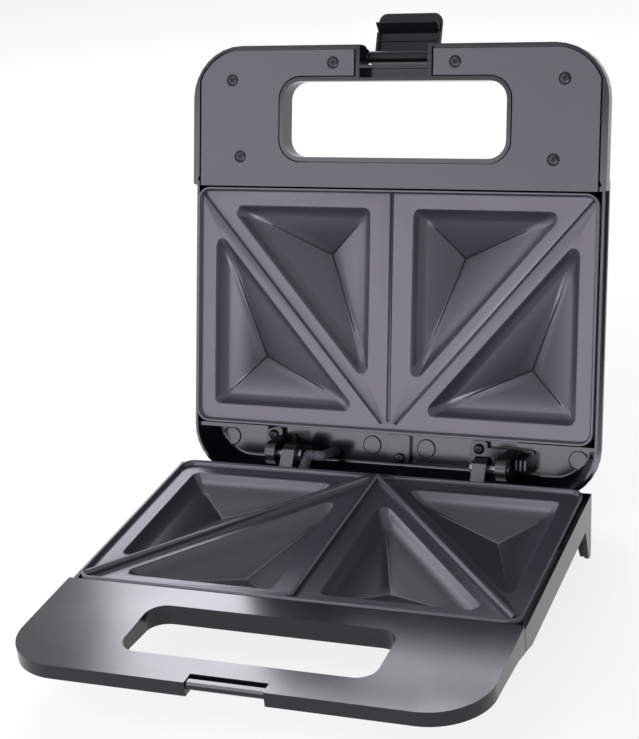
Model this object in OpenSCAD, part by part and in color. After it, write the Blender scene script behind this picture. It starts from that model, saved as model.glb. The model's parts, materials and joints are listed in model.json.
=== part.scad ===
// Sandwich toaster with a hinged lid, two shaped cooking plates and a snap latch.
// Base and lid parts are described about the hinge axis: x to the right, y to the back,
// z up, zero where the two plates meet. Lid parts are described with the lid shut.

/* [Overall] */
// Width of both housings
body_w = 227; // [221:1:240]
// Height of the hinge axis above the table
hinge_h = 34; // [33:0.5:38]
// Angle at which the lid stands open
open_angle = 108; // [95:1:110]
// Angle at which the latch is flipped back
latch_flip = 103; // [60:1:106]
// Radius of the housing corners seen from above
corner_r = 28; // [20:1:32]
// Wall thickness of the mouldings
wall = 2.4; // [1.8:0.1:2.6]

/* [Plates] */
// Gap between a plate and the outside of the housings at the sides
plate_side = 3; // [2.6:0.1:4]
// Depth of a cooking plate
plate_d = 128; // [122:1:128]
// Distance from the hinge axis to the rear edge of the plates
plate_rear = 14.7; // [14:0.1:15]
// Corner radius of a plate
plate_r = 7; // [4:0.5:9]
// Thickness of the plate sheet
plate_t = 2; // [1.6:0.1:2.4]
// Gap between the two rims when shut
rim_gap = 0.4; // [0.2:0.1:0.6]
// Height of the rim above the land
rim_h = 2.6; // [2:0.1:3]
// Width of the rim
rim_w = 1.2; // [1:0.1:1.6]
// Depth of a pocket at its centre
pocket_depth = 12; // [9:0.5:12.5]
// Depth at which the curved pocket wall ends
pocket_wall_depth = 7.6; // [5:0.1:8]
// Width of the curved pocket wall seen from above
pocket_wall_run = 9; // [6:0.1:10]
// Width of the grooves along the creases of a pocket
crease_w = 0.9; // [0.5:0.1:1.2]
// Land between the centre line and a pocket
land_mid = 12; // [10:0.5:14]
// Land between the plate edge and a pocket
land_edge = 9.9; // [9.5:0.1:12]
// Half the land between two pockets along the diagonal
land_diag = 7; // [6:0.5:9]
// Corner radius of a pocket at the land
pocket_r = 3.4; // [2.5:0.1:4]
// Width of a sealing rib at its foot
rib_w = 5.5; // [4:0.1:7]
// Width of a sealing rib at its crest
rib_crest = 1.2; // [0.8:0.1:1.6]
// Height of a sealing rib above the land
rib_h = 3.6; // [2.8:0.1:4]
// Width of the diagonal grooves in the upper plate
groove_w = 1.6; // [1:0.1:2.2]
// Width of the middle groove in the upper plate
groove_mid_w = 2.2; // [1.4:0.1:3]
// Depth of the grooves in the upper plate
groove_d = 1.1; // [0.6:0.1:1.3]

/* [Handles] */
// Depth of the handles in front of the plates
handle_d = 75.1; // [72:0.1:82]
// Width of the finger openings
opening_w = 122.4; // [100:0.1:128]
// Distance from the plates to the near edge of the finger openings
opening_back = 16.6; // [14:0.1:20]
// Depth of the finger openings
opening_d = 39.7; // [34:0.1:41]
// Corner radius of the finger openings
opening_r = 9.5; // [6:0.5:14]
// Width of the lid shell's rim round its finger opening
opening_rim = 2.2; // [1.2:0.1:2.3]
// Height of the base handle at its front edge
base_edge_h = 7.1; // [6.5:0.1:8]
// Depth of the base skirt below the mating plane
skirt_low = 16.5; // [15.5:0.1:17.5]
// Thickness of the lid handle
lid_handle_t = 13; // [12:0.1:14]
// Height of the straight front edge of the lid handle
lid_edge_h = 8; // [6:0.1:9]
// Gap between the two handle faces when shut
handle_gap = 1.4; // [1:0.1:2]

/* [Lid] */
// Height of the lid top above the mating plane
lid_top = 24.5; // [24:0.1:28]
// Distance from the hinge axis to the rear end of the lid
lid_rear = 15.3; // [14.8:0.1:18]
// Height at which the lid sides start to slope in
lid_band = 10; // [8:0.5:12]
// Inward slope of the lid sides up to the top
lid_slope_in = 5.4; // [3:0.1:7]
// Height of the lid wall's edge beside the plate
lid_lip_z = 3; // [2.5:0.1:4]
// Set-back of the lid wall's edge beside the plate
lid_lip_in = 1.1; // [0.6:0.1:1.1]
// Thickness of the handle cover
cover_t = 2.6; // [2:0.1:3]
// Width of the shell rim at the sides of the handle cover
cover_side_rim = 3.4; // [2.6:0.1:4]
// Width of the shell rim in front of the handle cover
cover_front_rim = 1.6; // [1.4:0.1:2.4]
// Groove round the handle cover
cover_groove = 0.9; // [0.5:0.1:1.2]

/* [Latch] */
// Width of the latch
latch_w = 35.2; // [30:0.1:37]
// Side gap between the latch and the notch
latch_side_gap = 1; // [0.4:0.1:1.4]
// Distance from the front edge of the handles to the latch pivot
pivot_in = 5.8; // [5:0.1:6.4]
// Height of the latch pivot above the mating plane
pivot_h = 13; // [12.5:0.1:13.5]
// Radius of the latch barrel
latch_barrel_r = 3.1; // [2.8:0.1:3.3]
// Radius of the latch pin
latch_pin_r = 1.25; // [1:0.05:1.5]
// Distance from the pivot to the inner face of the latch panel
latch_panel_out = 9.6; // [9:0.1:10.5]
// Length of the latch panel below the pivot
latch_len = 26.8; // [25:0.1:30]
// Thickness of the latch panel
latch_t = 2; // [1.6:0.1:2.4]
// Inward reach of the latch tooth
tooth_in = 6.4; // [6:0.1:6.8]
// Distance from the pivot down to the flat face of the tooth
tooth_low = 20; // [19.9:0.1:22]
// Running clearance of the pins, on the radius
pin_fit = 0.05; // [0.02:0.01:0.08]

/* [Hinge] */
// Radius of the hinge barrels
hinge_barrel_r = 6; // [5:0.1:6.5]
// Radius of the hinge pins
hinge_pin_r = 2.2; // [1.8:0.1:2.6]
// Distance from the middle to the inner end of the fixed barrel
barrel_in = 49.4; // [46:0.1:50]
// Distance from the middle to the outer end of the fixed barrel
barrel_out = 57; // [56:0.1:58]
// Distance from the middle to the inner end of the lid lug
lug_in = 61.5; // [60:0.1:62]
// Distance from the middle to the outer end of the lid lug
lug_out = 67; // [66:0.1:68]
// Radius of the lid lug
lug_r = 6.3; // [5.5:0.1:6.6]
// Thickness of the lug arm's foot on the lid
hinge_foot_t = 2.4; // [1.8:0.1:3]

/* [Inside] */
// Radius of the heating tubes
heater_r = 3; // [2.6:0.1:3.2]
// Inset of the heating tube from the sides of the plate
heater_in = 4.6; // [4.2:0.1:5]
// Thickness of the heat shields
shield_t = 0.8; // [0.5:0.1:1]
// Radius of the plate bosses
plate_boss_r = 3.5; // [3:0.1:4]
// Radius of the screw shanks
screw_r = 1.5; // [1.2:0.1:1.7]
// Radius of the screw heads
screw_head_r = 2.8; // [2.4:0.1:3.2]
// Distance from the sides of the housing to the underside pan
pan_side = 15.5; // [14:0.5:18]
// Gap between the underside pan and the table
pan_gap = 3; // [2:0.1:4]
// Radius of the front feet
foot_r = 7; // [5:0.5:9]

/* [Hidden] */
$fn = 64;
eps = 0.01;
soft = 32;

shell_black = [0.10, 0.10, 0.11];
cover_black = [0.16, 0.16, 0.17];
plate_grey = [0.30, 0.30, 0.32];
steel = [0.66, 0.67, 0.69];
dark_steel = [0.25, 0.25, 0.26];
rubber = [0.07, 0.07, 0.07];
cream = [0.86, 0.84, 0.78];

hw = body_w / 2;
phw = hw - plate_side;
plate_front = plate_rear + plate_d;
front_reach = plate_front + handle_d;
opening_near = plate_front + opening_back;
opening_far = opening_near + opening_d;
pivot_reach = front_reach - pivot_in;
pan_hw = hw - pan_side;
mate = rim_gap / 2;
land = mate + rim_h;
plate_under = land + plate_t;
face = handle_gap / 2;
bay_rear = plate_front + 1;
pocket_sheet = 1.6;
boss_end = land + pocket_depth + pocket_sheet + 1.4;
rear_face = plate_rear - 1.5;
rear_lean = 0.248;
notch_hw = latch_w / 2 + latch_side_gap;
notch_rear = front_reach - 17.1;
catch_d = 8.1;
cheek_t = 3;
bar_front = front_reach - 0.8;
bar_t = 3.5;
bar_top = face + 0.7;
bar_h = 4;
ceiling = lid_top - wall;
pan_low = hinge_h - pan_gap;
small_gap = 0.3;

// Rear end of the resting object: the outer corner of the flipped latch.
function turned_y(y, z) = y * cos(open_angle) + z * sin(open_angle);
function latch_y(u, v) = -pivot_reach - u * cos(latch_flip) - v * sin(latch_flip);
function latch_z(u, v) = pivot_h + u * sin(latch_flip) - v * cos(latch_flip);
tip_u = latch_panel_out + latch_t;
tip_v = latch_len - 1;
rest_back = max(turned_y(latch_y(tip_u, tip_v), latch_z(tip_u, tip_v)),
    turned_y(latch_y(tip_u - 1, latch_len), latch_z(tip_u - 1, latch_len)));
hinge_y = (front_reach - rest_back) / 2;

module in_base() translate([0, hinge_y, hinge_h]) children();
module in_lid() in_base() rotate([-open_angle, 0, 0]) children();
module in_latch() in_lid() translate([0, -pivot_reach, pivot_h]) rotate([-latch_flip, 0, 0]) children();
module both_sides() { children(); mirror([1, 0, 0]) children(); }

// Cylinder along x from x0 to x1.
module rod_x(x0, x1, r) translate([x0, 0, 0]) rotate([0, 90, 0]) cylinder(h = x1 - x0, r = r);
// Outline in the y-z plane pushed out along x from x0 to x1.
module side_cut(x0, x1, points) translate([x0, 0, 0]) rotate([90, 0, 90])
    linear_extrude(x1 - x0) polygon(points);
// Rectangle with round corners, given by its edges.
module round_rect(x0, x1, y0, y1, r) {
    translate([x0 + r, y0]) square([x1 - x0 - 2 * r, y1 - y0]);
    translate([x0, y0 + r]) square([x1 - x0, y1 - y0 - 2 * r]);
    for (x = [x0 + r, x1 - r], y = [y0 + r, y1 - r]) translate([x, y]) circle(r);
}
// Housing outline with round front corners and a straight rear edge.
module front_plan(inset, y_rear) {
    r = corner_r - inset;
    w = hw - inset;
    translate([-w, -front_reach + inset + r]) square([2 * w, front_reach - inset - r - y_rear]);
    translate([-w + r, -front_reach + inset]) square([2 * (w - r), r + 1]);
    for (s = [-1, 1]) translate([s * (w - r), -front_reach + inset + r]) circle(r);
}
module opening_plan(grow) round_rect(-opening_w / 2 - grow, opening_w / 2 + grow,
    -opening_far - grow, -opening_near + grow, opening_r + grow);

// Pockets. Each is a triangle between the plate's edge, its middle line and its diagonal.
function diag_dir() = [phw, -plate_d] / norm([phw, plate_d]);
function diag_x(y, off) = let (d = diag_dir()) (off - d[0] * (y + plate_rear)) / -d[1];
function diag_y(x, off) = let (d = diag_dir()) (off + d[1] * x) / d[0] - plate_rear;
front_tri = [
    [land_mid, diag_y(land_mid, -land_diag)],
    [land_mid, -plate_front + land_edge],
    [diag_x(-plate_front + land_edge, -land_diag), -plate_front + land_edge]
];
rear_tri = [
    [phw - land_edge, -plate_rear - land_edge],
    [diag_x(-plate_rear - land_edge, land_diag), -plate_rear - land_edge],
    [phw - land_edge, diag_y(phw - land_edge, land_diag)]
];
function side_len(T, i) = norm(T[(i + 1) % 3] - T[(i + 2) % 3]);
function perimeter(T) = side_len(T, 0) + side_len(T, 1) + side_len(T, 2);
function incentre(T) = (side_len(T, 0) * T[0] + side_len(T, 1) * T[1] + side_len(T, 2) * T[2])
    / perimeter(T);
function inradius(T) = let (s = perimeter(T) / 2)
    sqrt((s - side_len(T, 0)) * (s - side_len(T, 1)) * (s - side_len(T, 2)) / s);
function out_angle(T, i) = let (d = T[(i + 1) % 3] - T[i]) atan2(-d[0], d[1]);
function ring(T, inset, r, z, n) = let (c0 = incentre(T), R = inradius(T)) [
    for (i = [0:2]) let (
        c = c0 + (T[i] - c0) * (R - inset - r) / R,
        a0 = out_angle(T, (i + 2) % 3),
        turn = ((out_angle(T, i) - a0) % 360 + 360) % 360
    ) for (k = [0:n]) let (a = a0 + turn * k / n) [c[0] + r * cos(a), c[1] + r * sin(a), z]
];
// Curved wall from the land down to the facets: inset and depth as shares of the wall.
wall_steps = [[0, 0], [0.15, 0.36], [0.36, 0.68], [0.64, 0.89], [1, 1]];
outer_steps = [[0, 0], [0.36, 0.68], [1, 1]];
// The corners get tighter towards the floor, so that the creases run right into them.
floor_r_less = 1.6;
// grow and sink give the outside of the pocket's sheet.
module pocket_form(T, top, grow, sink, steps, n) {
    m = 3 * (n + 1);
    rings = concat([ring(T, -grow, pocket_r + grow, top, n)],
        [for (s = steps) ring(T, s[0] * pocket_wall_run - grow, pocket_r + grow - floor_r_less * s[0],
            -s[1] * pocket_wall_depth - sink, n)]);
    levels = len(rings);
    c = incentre(T);
    pts = concat([for (q = rings) each q], [[c[0], c[1], -pocket_depth - sink]]);
    hull() polyhedron(pts, concat(
        [[for (i = [m - 1:-1:0]) i]],
        [for (k = [0:levels - 2], i = [0:m - 1]) let (a = k * m + i, b = k * m + (i + 1) % m)
            each [[a, b, b + m], [a, b + m, a + m]]],
        [for (i = [0:m - 1]) [(levels - 1) * m + i, (levels - 1) * m + (i + 1) % m, levels * m]]
    ));
}
// Thin grooves along the creases, from the deepest point to the foot of the wall.
function crease_end(T, i) = let (c = incentre(T), R = inradius(T), r = pocket_r - floor_r_less, d = T[i] - c)
    c + d * (R - pocket_wall_run - r) / R + d / norm(d) * r;
module crease_grooves(T) for (i = [0:2]) hull() {
    c = incentre(T);
    e = crease_end(T, i);
    translate([c[0], c[1], -pocket_depth]) groove_tip(1);
    translate([e[0], e[1], -pocket_wall_depth]) groove_tip(0.5);
}
module groove_tip(k) translate([0, 0, -k * crease_w / 2])
    cylinder(h = k * crease_w, r1 = 0.05, r2 = k * crease_w, $fn = 8);
module all_pockets(top, grow, sink, steps, n) both_sides() {
    pocket_form([front_tri[0], front_tri[1], front_tri[2]], top, grow, sink, steps, n);
    pocket_form([rear_tri[0], rear_tri[1], rear_tri[2]], top, grow, sink, steps, n);
}
module plate_plan(inset) round_rect(-phw + inset, phw - inset, -plate_front + inset,
    -plate_rear - inset, plate_r - inset);
boss_t = 0.55;
plate_bosses = [
    [-boss_t * phw, -plate_rear - boss_t * plate_d], [boss_t * phw, -plate_rear - boss_t * plate_d],
    [0, -plate_rear - 19], [0, -plate_front + 24]
];
// A plate facing up with its land at z = 0.
module plate_blank() {
    $fn = soft;
    difference() {
        union() {
            translate([0, 0, -plate_t]) linear_extrude(plate_t) plate_plan(0);
            all_pockets(-plate_t / 2, pocket_sheet, pocket_sheet, outer_steps, 2);
            for (p = plate_bosses) translate([p[0], p[1], -boss_end + land])
                cylinder(h = boss_end - land - plate_t / 2, r = plate_boss_r, $fn = 24);
            translate([0, 0, -eps]) linear_extrude(rim_h - 0.3 + eps) difference() {
                plate_plan(0);
                plate_plan(rim_w);
            }
            translate([0, 0, rim_h - 0.31]) linear_extrude(0.31) difference() {
                plate_plan(0.25);
                plate_plan(rim_w - 0.25);
            }
            translate([0, 0, -eps]) linear_extrude(0.5) difference() {
                plate_plan(rim_w / 2);
                plate_plan(rim_w + 0.6);
            }
        }
        all_pockets(1, 0, 0, wall_steps, 5);
        both_sides() {
            crease_grooves([front_tri[0], front_tri[1], front_tri[2]]);
            crease_grooves([rear_tri[0], rear_tri[1], rear_tri[2]]);
        }
        for (p = plate_bosses) translate([p[0], p[1], -boss_end + land - 1])
            cylinder(h = boss_end - land - plate_t + 0.5, r = screw_r + 0.02, $fn = 24);
    }
}
module diagonals(len) {
    a = atan2(plate_d, phw);
    translate([0, -plate_rear, 0]) for (s = [-1, 1]) rotate([0, 0, -90 + s * (90 - a)])
        rotate([90, 0, 90]) linear_extrude(len) children();
}
module middle(len) translate([0, -plate_rear, 0]) rotate([90, 0, 0]) linear_extrude(len) children();
module rib_section() polygon([[-rib_w / 2, -eps], [-rib_w * 0.3, rib_h * 0.5], [-rib_w * 0.25, rib_h * 0.53],
    [-rib_crest / 2, rib_h], [rib_crest / 2, rib_h], [rib_w * 0.25, rib_h * 0.53],
    [rib_w * 0.3, rib_h * 0.5], [rib_w / 2, -eps]]);

module lower_plate() color(plate_grey) in_base() translate([0, 0, -land]) {
    plate_blank();
    intersection() {
        union() {
            diagonals(norm([phw, plate_d])) rib_section();
            middle(plate_d) rib_section();
        }
        union() {
            translate([0, 0, -eps]) linear_extrude(rim_h - 0.3) plate_plan(rim_w - 0.1);
            translate([0, 0, -eps]) linear_extrude(rib_h + 1) plate_plan(rim_w + 0.9);
        }
    }
    for (x = [-3, 2]) translate([x, -plate_rear - rim_w - 0.9, -eps]) cylinder(h = rim_h + 0.1, r = 1.1);
}
module upper_plate() color(plate_grey) in_lid() translate([0, 0, land]) mirror([0, 0, 1]) {
    difference() {
        plate_blank();
        intersection() {
            union() {
                diagonals(norm([phw, plate_d])) translate([-groove_w / 2, -groove_d]) square([groove_w, 5]);
                middle(plate_d) translate([-groove_mid_w / 2, -groove_d]) square([groove_mid_w, 5]);
            }
            translate([0, 0, -groove_d - 1]) linear_extrude(groove_d + 6) difference() {
                plate_plan(rim_w + 0.7);
                translate([0, -plate_rear]) circle(6);
            }
        }
    }
}
module plate_screws() for (p = plate_bosses) translate([p[0], p[1], -boss_end + land - shield_t]) {
    translate([0, 0, -1.6]) cylinder(h = 1.6, r = screw_head_r);
    translate([0, 0, -eps]) cylinder(h = shield_t + 2.8 * screw_head_r, r = screw_r - 0.02);
}
module lower_plate_screws() color(steel) in_base() translate([0, 0, -land]) plate_screws();
module upper_plate_screws() color(steel) in_lid() translate([0, 0, land]) mirror([0, 0, 1]) plate_screws();

// Heating tube, a flat loop under the land with both ends at the rear middle.
heater_bend = 10;
heater_hw = phw - heater_in;
heater_front = -plate_front + heater_in;
heater_rear = -plate_rear - 5.4;
module heating_tube() translate([0, 0, -plate_t - heater_r - 0.05]) {
    for (s = [-1, 1]) {
        translate([s * heater_hw, heater_front + heater_bend, 0]) rotate([-90, 0, 0])
            cylinder(h = heater_rear - heater_front - 2 * heater_bend, r = heater_r);
        translate([0, heater_rear, 0]) rotate([0, s * 90, 0]) translate([0, 0, 15])
            cylinder(h = heater_hw - heater_bend - 15, r = heater_r);
        translate([0, heater_rear, 0]) rotate([0, s * 90, 0]) translate([0, 0, 8])
            cylinder(h = 8, r = 1.2);
    }
    rod_at(heater_front) rod_x(-heater_hw + heater_bend, heater_hw - heater_bend, heater_r);
    for (s = [-1, 1]) {
        translate([s * (heater_hw - heater_bend), heater_front + heater_bend, 0])
            rotate([0, 0, s > 0 ? -90 : 180]) rotate_extrude(angle = 90) translate([heater_bend, 0]) circle(heater_r);
        translate([s * (heater_hw - heater_bend), heater_rear - heater_bend, 0])
            rotate([0, 0, s > 0 ? 0 : 90]) rotate_extrude(angle = 90) translate([heater_bend, 0]) circle(heater_r);
    }
}
module rod_at(y) translate([0, y, 0]) children();
module lower_heating_element() color(dark_steel) in_base() translate([0, 0, -land]) heating_tube();
module upper_heating_element() color(dark_steel) in_lid() translate([0, 0, land]) mirror([0, 0, 1]) heating_tube();

// Heat shield, a flat sheet on the ends of the plate bosses with its edges turned up.
shield_hw = pan_hw - wall - 1.6;
shield_front = plate_front - 17.5;
pan_front = plate_front - 8;
pan_front_low = plate_front - 30;
shield_rear = plate_rear + 10;
module heat_shield() translate([0, 0, -boss_end + land]) difference() {
    union() {
        translate([0, 0, -shield_t]) linear_extrude(shield_t)
            round_rect(-shield_hw, shield_hw, -shield_front, -shield_rear, 5);
    }
    for (p = plate_bosses) translate([p[0], p[1], -shield_t - 1]) cylinder(h = shield_t + 2, r = screw_r + 0.1);
}
module lower_heat_shield() color(steel) in_base() translate([0, 0, -land]) heat_shield();
module upper_heat_shield() color(steel) in_lid() translate([0, 0, land]) mirror([0, 0, 1]) heat_shield();

// Base housing.
base_rear = -rear_face;
function lean_y(z) = base_rear + rear_lean * (z + land + 0.8);
under_line = [
    [-front_reach - 1, -face - base_edge_h], [-front_reach, -face - base_edge_h],
    [-opening_far + 14, -face - base_edge_h - 0.7], [-opening_near + 2.3, -face - base_edge_h - 3.2],
    [-plate_front - 6.3, -face - base_edge_h - 5.2], [-plate_front + 2.7, -skirt_low + 1.5],
    [-plate_front + 7.7, -skirt_low]
];
module under_profile(up, top) side_cut(-hw - 1, hw + 1, concat([for (p = under_line) [p[0], p[1] + up]],
    [[30, -skirt_low + up], [30, top], [-front_reach - 1, top]]));
// The slanted slab of the rear wall from z0 up to its top edge, t thick.
module rear_slab(x0, x1, z0, t, z1) side_cut(x0, x1,
    [[lean_y(z1), z1], [lean_y(z0), z0], [lean_y(z0) - t, z0], [lean_y(z1) - t, z1]]);
lip_t = 1.1;
leg_t = 2.2;
leg_tip = 4.6;
module legs() both_sides() {
    side_cut(hw - leg_t, hw, [
        [lean_y(-skirt_low) - 12.4, -skirt_low + eps], [lean_y(-skirt_low), -skirt_low + eps],
        [lean_y(-hinge_h + 1), -hinge_h + 1], [lean_y(-hinge_h) - 0.9, -hinge_h],
        [lean_y(-hinge_h) - leg_tip + 0.9, -hinge_h], [lean_y(-hinge_h) - leg_tip, -hinge_h + 1]
    ]);
    intersection() {
        rear_slab(hw - 12, hw, -hinge_h, leg_t, -skirt_low + 1);
        translate([0, 0, 0]) rotate([90, 0, 0]) linear_extrude(60) polygon([
            [hw, -skirt_low + 1], [hw - 10, -skirt_low + 1], [hw - 5, -hinge_h], [hw, -hinge_h]
        ]);
    }
}
inlet_x = pan_hw - 20;
inlet_z = -25.4;
inlet_r = 4.2;
cover_screw_spots = [
    [-hw + 15, -opening_near - 8], [hw - 15, -opening_near - 8],
    [-hw + 24, -front_reach + 14], [hw - 24, -front_reach + 14],
    [-42, -front_reach + 11], [42, -front_reach + 11],
    [-hw + 8, -plate_rear - 8.5], [hw - 8, -plate_rear - 8.5]
];
function under_z(y) = lookup(y, under_line);
module catch_notch(grow) translate([-notch_hw - grow, -front_reach - 1, -40])
    cube([2 * (notch_hw + grow), catch_d + grow, 60]);
module base_housing() color(shell_black) in_base() {
    difference() {
        intersection() {
            translate([0, 0, -skirt_low]) linear_extrude(skirt_low - face) front_plan(0, rear_face);
            under_profile(0, 0);
        }
        // hollow of the handle, open below
        difference() {
            translate([0, 0, -40]) linear_extrude(40 - face - wall) difference() {
                front_plan(wall, plate_front + 1 + wall);
                opening_plan(wall);
            }
            catch_notch(wall);
        }
        translate([0, 0, -40]) linear_extrude(60) opening_plan(0);
        catch_notch(0);
        // room for the tray that closes the underside
        difference() {
            translate([0, 0, -40]) linear_extrude(40 - face - wall) difference() {
                front_plan(wall, plate_front - 4);
                opening_plan(wall);
            }
            under_profile(wall + 0.5, 30);
            catch_notch(wall);
        }
        // bay of the plate
        translate([-phw - 1, -bay_rear, -40]) cube([2 * phw + 2, bay_rear - rear_face - lip_t, 60]);
        // the skirt beside the plate stands a little lower than the handle
        translate([-hw - 1, -bay_rear - 0.6, -3]) cube([2 * hw + 2, bay_rear + 20, 10]);
        // seam where the skirt meets the handle
        for (s = [-1, 1]) translate([s * hw - 0.4, -bay_rear - 1.6, -40]) cube([0.8, 0.8, 60]);
        // the rear face leans forward below its lip
        side_cut(-hw - 1, hw + 1, [[lean_y(-land - 0.8), -land - 0.8], [lean_y(-land - 0.8), 10], [40, 10],
            [40, -60], [lean_y(-60), -60]]);
    }
    rear_slab(-hw + 1, hw - 1, -skirt_low, leg_t, -plate_under - 0.6);
    legs();
    // catch bar across the notch
    intersection() {
        translate([-notch_hw - 1, -bar_front, -bar_top - bar_h]) cube([2 * notch_hw + 2, bar_t, bar_h]);
        side_cut(-notch_hw - 1, notch_hw + 1, [
            [-bar_front, -bar_top - 1], [-bar_front + 1, -bar_top], [-bar_front + bar_t, -bar_top],
            [-bar_front + bar_t, -bar_top - bar_h], [-bar_front + 1, -bar_top - bar_h],
            [-bar_front, -bar_top - bar_h + 1]
        ]);
    }
    // bosses for the underside screws
    for (p = cover_screw_spots) translate([p[0], p[1], 0]) difference() {
        union() {
            translate([0, 0, under_z(p[1]) + wall + 0.5]) cylinder(h = -under_z(p[1]) - wall - 0.5
                - (p[1] > -bay_rear ? 11.4 : face + wall - 0.5), r = 3);
            if (p[1] > -bay_rear) translate([-3, 0, under_z(p[1]) + wall + 0.5]) cube([6, 6, 2]);
        }
        translate([0, 0, under_z(p[1]) - 1]) cylinder(h = 8, r = screw_r);
    }
}

// Underside: a tray that closes the handle and drops to a pan under the plate.
module bottom_cover() color(shell_black) in_base() difference() {
    union() {
        intersection() {
            translate([0, 0, -skirt_low]) linear_extrude(skirt_low) difference() {
                front_plan(wall + 0.2, -lean_y(-skirt_low) + leg_t + 0.5);
                opening_plan(wall + 0.2);
            }
            difference() {
                under_profile(0.15, 0);
                under_profile(0.15 + wall, 1);
            }
            difference() {
                translate([-hw, -front_reach, -40]) cube([2 * hw, front_reach, 60]);
                catch_notch(wall + 0.2);
            }
        }
        hull() {
            translate([0, 0, -skirt_low]) linear_extrude(1) round_rect(-pan_hw, pan_hw, -pan_front,
                lean_y(-skirt_low) - leg_t - 1, 12);
            translate([0, 0, -pan_low]) linear_extrude(1) round_rect(-pan_hw + 4, pan_hw - 4,
                -pan_front_low, lean_y(-pan_low) - leg_t - 1, 10);
        }
    }
    hull() {
        translate([0, 0, -skirt_low]) linear_extrude(wall + 1) round_rect(-pan_hw + wall, pan_hw - wall,
            -pan_front + wall, lean_y(-skirt_low) - leg_t - 1 - wall, 10);
        translate([0, 0, -pan_low + wall]) linear_extrude(1) round_rect(-pan_hw + 4 + wall, pan_hw - 4 - wall,
            -pan_front_low + wall, lean_y(-pan_low) - leg_t - 1 - wall, 8);
    }
    for (p = cover_screw_spots) translate([p[0], p[1], under_z(p[1])]) {
        translate([0, 0, -5]) cylinder(h = 10, r = screw_r + 0.15);
        translate([0, 0, -5]) cylinder(h = 6.4, r = screw_head_r + 0.3);
    }
    for (x = [-50:10:50]) translate([x - 1.5, -pan_front_low + 20, -pan_low - 1]) cube([3, plate_d - 78, wall + 2]);
    inlet_place() translate([0, 0, -10]) cylinder(h = 30, r = inlet_r + 0.1);
}
module bottom_cover_screws() color(steel) in_base() for (p = cover_screw_spots)
    translate([p[0], p[1], under_z(p[1]) + 1.4]) {
        translate([0, 0, -1.2]) cylinder(h = 1.2, r = screw_head_r);
        translate([0, 0, -eps]) cylinder(h = 3.2, r = screw_r - 0.02);
    }
foot_y = -pan_front_low + 12;
module front_feet() color(rubber) in_base() for (s = [-1, 1])
    translate([s * (pan_hw - 14), foot_y, -hinge_h]) {
        cylinder(h = pan_gap - 0.4, r1 = foot_r - 0.8, r2 = foot_r);
        translate([0, 0, pan_gap - 0.4 - eps]) cylinder(h = 0.4, r = foot_r);
    }
// Parts on the floor of the pan.
floor_z = -pan_low + wall;
inner_room = -boss_end - shield_t - floor_z;
module thermostat() color(cream) in_base() translate([-pan_hw + 26, -plate_front + 48, floor_z]) {
    cylinder(h = inner_room - 3, r = 8);
    translate([0, 0, inner_room - 3 - eps]) cylinder(h = 2, r = 6.5);
}
module thermal_fuse() color(steel) in_base() translate([pan_hw - 34, -plate_rear - 55.3, floor_z]) {
    translate([0, 0, 3]) rod_x(0, 14, 3);
    translate([0, 0, 3]) rod_x(-5, 19, 0.7);
}
module terminal_block() color(cream) in_base() translate([pan_hw - 38, -plate_rear - 37.3, floor_z]) difference() {
    cube([28, 12, inner_room - 1]);
    for (i = [0:2]) translate([5 + 9 * i, 6, 4]) cylinder(h = inner_room, r = 2);
    for (i = [0:2]) translate([5 + 9 * i, -1, 4]) rotate([-90, 0, 0]) cylinder(h = 14, r = 1.4);
}
inlet_y = lean_y(inlet_z) - leg_t - 1;
module inlet_place() translate([inlet_x, inlet_y, inlet_z]) rotate([90 - atan(rear_lean), 0, 0]) children();
module cord_inlet() color(rubber) in_base() inlet_place() difference() {
        union() {
            translate([0, 0, -2.3]) cylinder(h = 2, r = inlet_r + 1.2);
            translate([0, 0, -0.4]) cylinder(h = 6, r = inlet_r);
        }
        translate([0, 0, -4]) cylinder(h = 16, r = inlet_r - 2);
    }

// Hinges: barrel and post on the base, lug and arm on the lid, one pin each side.
post_w = barrel_out - barrel_in;
module hinge_post() difference() {
    union() {
        rod_x(barrel_in, barrel_out, hinge_barrel_r);
        side_cut(barrel_in, barrel_out, [
            [0, hinge_barrel_r], [0, -hinge_barrel_r], [lean_y(-skirt_low + 1) + 0.02, -skirt_low + 1],
            [lean_y(-land - 0.9) + 0.02, -land - 0.9], [lean_y(-land - 0.9) + 2, -land + 0.6], [-5, hinge_barrel_r - 1]
        ]);
    }
    rod_x(barrel_in - 1, barrel_out + 1, hinge_pin_r + 0.02);
}
module hinge_post_left() color(shell_black) in_base() mirror([1, 0, 0]) hinge_post();
module hinge_post_right() color(shell_black) in_base() hinge_post();
module hinge_pin() {
    rod_x(barrel_in - 1.2, lug_out + 0.8, hinge_pin_r);
    rod_x(barrel_in - 2.2, barrel_in - 0.2, hinge_pin_r + 1.1);
}
module hinge_pin_left() color(steel) in_base() mirror([1, 0, 0]) hinge_pin();
module hinge_pin_right() color(steel) in_base() hinge_pin();
arm_screw_in = 45.4;
arm_screw_out = 72.4;
arm_screw_y = -6.7;
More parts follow.
